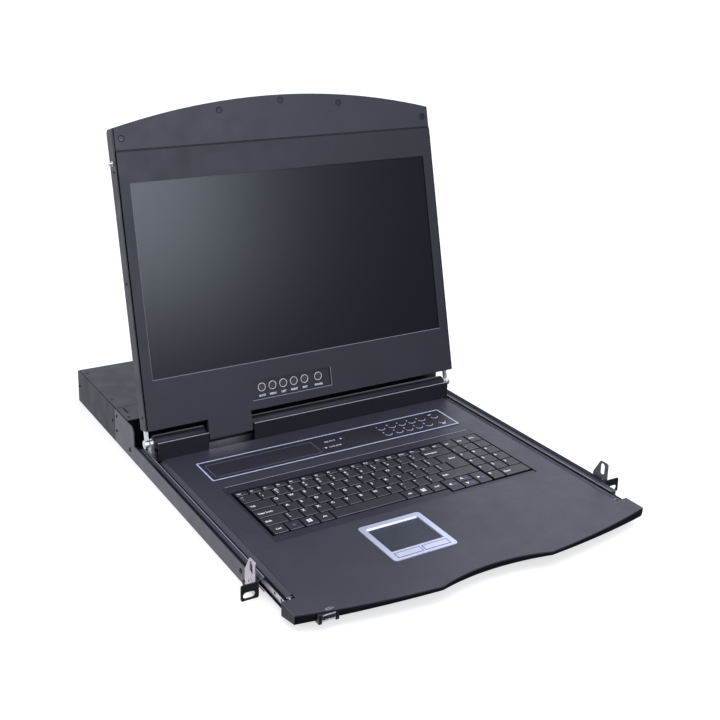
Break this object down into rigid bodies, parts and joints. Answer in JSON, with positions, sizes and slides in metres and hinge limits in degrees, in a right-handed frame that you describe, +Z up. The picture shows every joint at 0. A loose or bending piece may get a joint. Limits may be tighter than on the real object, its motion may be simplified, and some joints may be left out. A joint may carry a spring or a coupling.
{
  "type": "rack-mount KVM console switch",
  "caption": "Low rack-mount switch console: a sliding keyboard and touchpad drawer with a fold-up hinged screen, in front of a switch case with sockets at the back.",
  "frame": {"origin": "midway between the two ear slots, on the front face of the rack ears", "axes": "X to the right, Y from the ears to the rear, Z up"},
  "size_m": [0.4826, 0.6425, 0.4278],
  "materials": {
    "rail_paint": "fine textured dark grey powder coat",
    "case_paint": "fine textured dark grey powder coat",
    "ear_black": "satin black",
    "zinc": "zinc plated",
    "slide_steel": "galvanised",
    "screw_black": "black oxide",
    "connector": "nickel plated",
    "black_plastic": "fine grain",
    "board": "lacquered circuit board",
    "drawer_paint": "fine textured dark grey powder coat",
    "membrane": "printed film",
    "key_plastic": "fine grain",
    "silver_plastic": "painted silver",
    "pad_film": "satin",
    "screen_paint": "fine textured dark grey powder coat",
    "display": "anti-glare screen",
    "button_plastic": "satin"
  },
  "bodies": {
    "rack_frame": {"left_side_rail": "rail_paint", "right_side_rail": "rail_paint", "left_rack_ear": "ear_black", "right_rack_ear": "ear_black", "switch_case": "case_paint", "switch_lid": "case_paint", "front_crossplate": "case_paint", "bottom_crossbar": "case_paint", "outer_slides": "slide_steel", "frame_screws": "screw_black", "computer_ports": "connector", "console_ports": "connector", "power_inlet": "black_plastic", "switch_board": "board", "power_supply": "board"},
    "power_switch": {"power_rocker": "black_plastic"},
    "left_release": {"left_lever": "zinc"},
    "right_release": {"right_lever": "zinc"},
    "left_middle_slide": {"left_mid_slide": "slide_steel"},
    "right_middle_slide": {"right_mid_slide": "slide_steel"},
    "drawer": {"drawer_pan": "drawer_paint", "drawer_deck": "drawer_paint", "front_lip": "drawer_paint", "inner_slides": "slide_steel", "hinge_cover": "drawer_paint", "hinge_bases": "zinc", "selector_panel": "membrane", "selector_board": "board", "keyboard_tray": "black_plastic", "keycaps": "key_plastic", "touchpad_bezel": "silver_plastic", "touchpad_pad": "pad_film", "usb_socket": "connector", "usb_housing": "black_plastic", "deck_screws": "zinc"},
    "touch_left": {"touch_left_button": "silver_plastic"},
    "touch_right": {"touch_right_button": "silver_plastic"},
    "space": {"key_space": "key_plastic"},
    "enter": {"key_enter": "key_plastic"},
    "backspace": {"key_backspace": "key_plastic"},
    "left_shift": {"key_left_shift": "key_plastic"},
    "right_shift": {"key_right_shift": "key_plastic"},
    "tab": {"key_tab": "key_plastic"},
    "arrow_up": {"key_up": "key_plastic"},
    "arrow_down": {"key_down": "key_plastic"},
    "screen": {"lcd_back_cover": "screen_paint", "lcd_bezel": "screen_paint", "lcd_cap": "screen_paint", "cap_screws": "screw_black", "lcd_panel": "display", "lcd_board": "board", "osd_plate": "membrane", "hinge_leaves": "zinc", "latch_pins": "zinc"},
    "screen_button_1": {"osd_button_1": "button_plastic"},
    "screen_button_2": {"osd_button_2": "button_plastic"},
    "screen_button_3": {"osd_button_3": "button_plastic"},
    "screen_button_4": {"osd_button_4": "button_plastic"},
    "screen_button_5": {"osd_button_5": "button_plastic"},
    "screen_button_6": {"osd_button_6": "button_plastic"}
  },
  "joints": [
    {"name": "drawer_slide", "type": "slide", "parent": "rack_frame", "child": "drawer", "axis": [0, -1, 0], "range_m": [-0.0365, 0.3]},
    {"name": "left_middle_slide_run", "type": "slide", "parent": "rack_frame", "child": "left_middle_slide", "axis": [0, -1, 0], "range_m": [-0.01826, 0.1501]},
    {"name": "right_middle_slide_run", "type": "slide", "parent": "rack_frame", "child": "right_middle_slide", "axis": [0, -1, 0], "range_m": [-0.01826, 0.1501]},
    {"name": "screen_hinge", "type": "hinge", "parent": "drawer", "child": "screen", "pos_m": [0, 0.306, 0.025], "axis": [1, 0, 0], "range_deg": [-12, 103.8]},
    {"name": "left_release_pivot", "type": "hinge", "parent": "rack_frame", "child": "left_release", "pos_m": [-0.2251, 0.0257, -0.003], "axis": [0, -1, 0], "range_deg": [0, 8], "stiffness_Nm_per_rad": 0.3, "springref_deg": -5.73},
    {"name": "right_release_pivot", "type": "hinge", "parent": "rack_frame", "child": "right_release", "pos_m": [0.2251, 0.0257, -0.003], "axis": [0, 1, 0], "range_deg": [0, 8], "stiffness_Nm_per_rad": 0.3, "springref_deg": -5.73},
    {"name": "power_rocker_pivot", "type": "hinge", "parent": "rack_frame", "child": "power_switch", "pos_m": [0.124, 0.5475, 0.012], "axis": [0, 0, 1], "range_deg": [0, 16]},
    {"name": "space_press", "type": "slide", "parent": "drawer", "child": "space", "axis": [0, 0, -1], "range_m": [0, 0.0019], "stiffness_N_per_m": 250, "springref_m": -0.0012},
    {"name": "enter_press", "type": "slide", "parent": "drawer", "child": "enter", "axis": [0, 0, -1], "range_m": [0, 0.0019], "stiffness_N_per_m": 250, "springref_m": -0.0012},
    {"name": "backspace_press", "type": "slide", "parent": "drawer", "child": "backspace", "axis": [0, 0, -1], "range_m": [0, 0.0019], "stiffness_N_per_m": 250, "springref_m": -0.0012},
    {"name": "left_shift_press", "type": "slide", "parent": "drawer", "child": "left_shift", "axis": [0, 0, -1], "range_m": [0, 0.0019], "stiffness_N_per_m": 250, "springref_m": -0.0012},
    {"name": "right_shift_press", "type": "slide", "parent": "drawer", "child": "right_shift", "axis": [0, 0, -1], "range_m": [0, 0.0019], "stiffness_N_per_m": 250, "springref_m": -0.0012},
    {"name": "tab_press", "type": "slide", "parent": "drawer", "child": "tab", "axis": [0, 0, -1], "range_m": [0, 0.0019], "stiffness_N_per_m": 250, "springref_m": -0.0012},
    {"name": "arrow_up_press", "type": "slide", "parent": "drawer", "child": "arrow_up", "axis": [0, 0, -1], "range_m": [0, 0.0019], "stiffness_N_per_m": 250, "springref_m": -0.0012},
    {"name": "arrow_down_press", "type": "slide", "parent": "drawer", "child": "arrow_down", "axis": [0, 0, -1], "range_m": [0, 0.0019], "stiffness_N_per_m": 250, "springref_m": -0.0012},
    {"name": "touch_left_press", "type": "slide", "parent": "drawer", "child": "touch_left", "axis": [0, 0, -1], "range_m": [0, 0.0007], "stiffness_N_per_m": 400, "springref_m": -0.0005},
    {"name": "touch_right_press", "type": "slide", "parent": "drawer", "child": "touch_right", "axis": [0, 0, -1], "range_m": [0, 0.0007], "stiffness_N_per_m": 400, "springref_m": -0.0005},
    {"name": "screen_button_1_press", "type": "slide", "parent": "screen", "child": "screen_button_1", "axis": [0, 0.9711, -0.2385], "range_m": [0, 0.0008], "stiffness_N_per_m": 300, "springref_m": -0.0008},
    {"name": "screen_button_2_press", "type": "slide", "parent": "screen", "child": "screen_button_2", "axis": [0, 0.9711, -0.2385], "range_m": [0, 0.0008], "stiffness_N_per_m": 300, "springref_m": -0.0008},
    {"name": "screen_button_3_press", "type": "slide", "parent": "screen", "child": "screen_button_3", "axis": [0, 0.9711, -0.2385], "range_m": [0, 0.0008], "stiffness_N_per_m": 300, "springref_m": -0.0008},
    {"name": "screen_button_4_press", "type": "slide", "parent": "screen", "child": "screen_button_4", "axis": [0, 0.9711, -0.2385], "range_m": [0, 0.0008], "stiffness_N_per_m": 300, "springref_m": -0.0008},
    {"name": "screen_button_5_press", "type": "slide", "parent": "screen", "child": "screen_button_5", "axis": [0, 0.9711, -0.2385], "range_m": [0, 0.0008], "stiffness_N_per_m": 300, "springref_m": -0.0008},
    {"name": "screen_button_6_press", "type": "slide", "parent": "screen", "child": "screen_button_6", "axis": [0, 0.9711, -0.2385], "range_m": [0, 0.0008], "stiffness_N_per_m": 300, "springref_m": -0.0008}
  ],
  "couplings": [
    {"joint": "left_middle_slide_run", "follows": "drawer_slide", "ratio": 0.5},
    {"joint": "right_middle_slide_run", "follows": "drawer_slide", "ratio": 0.5}
  ]
}
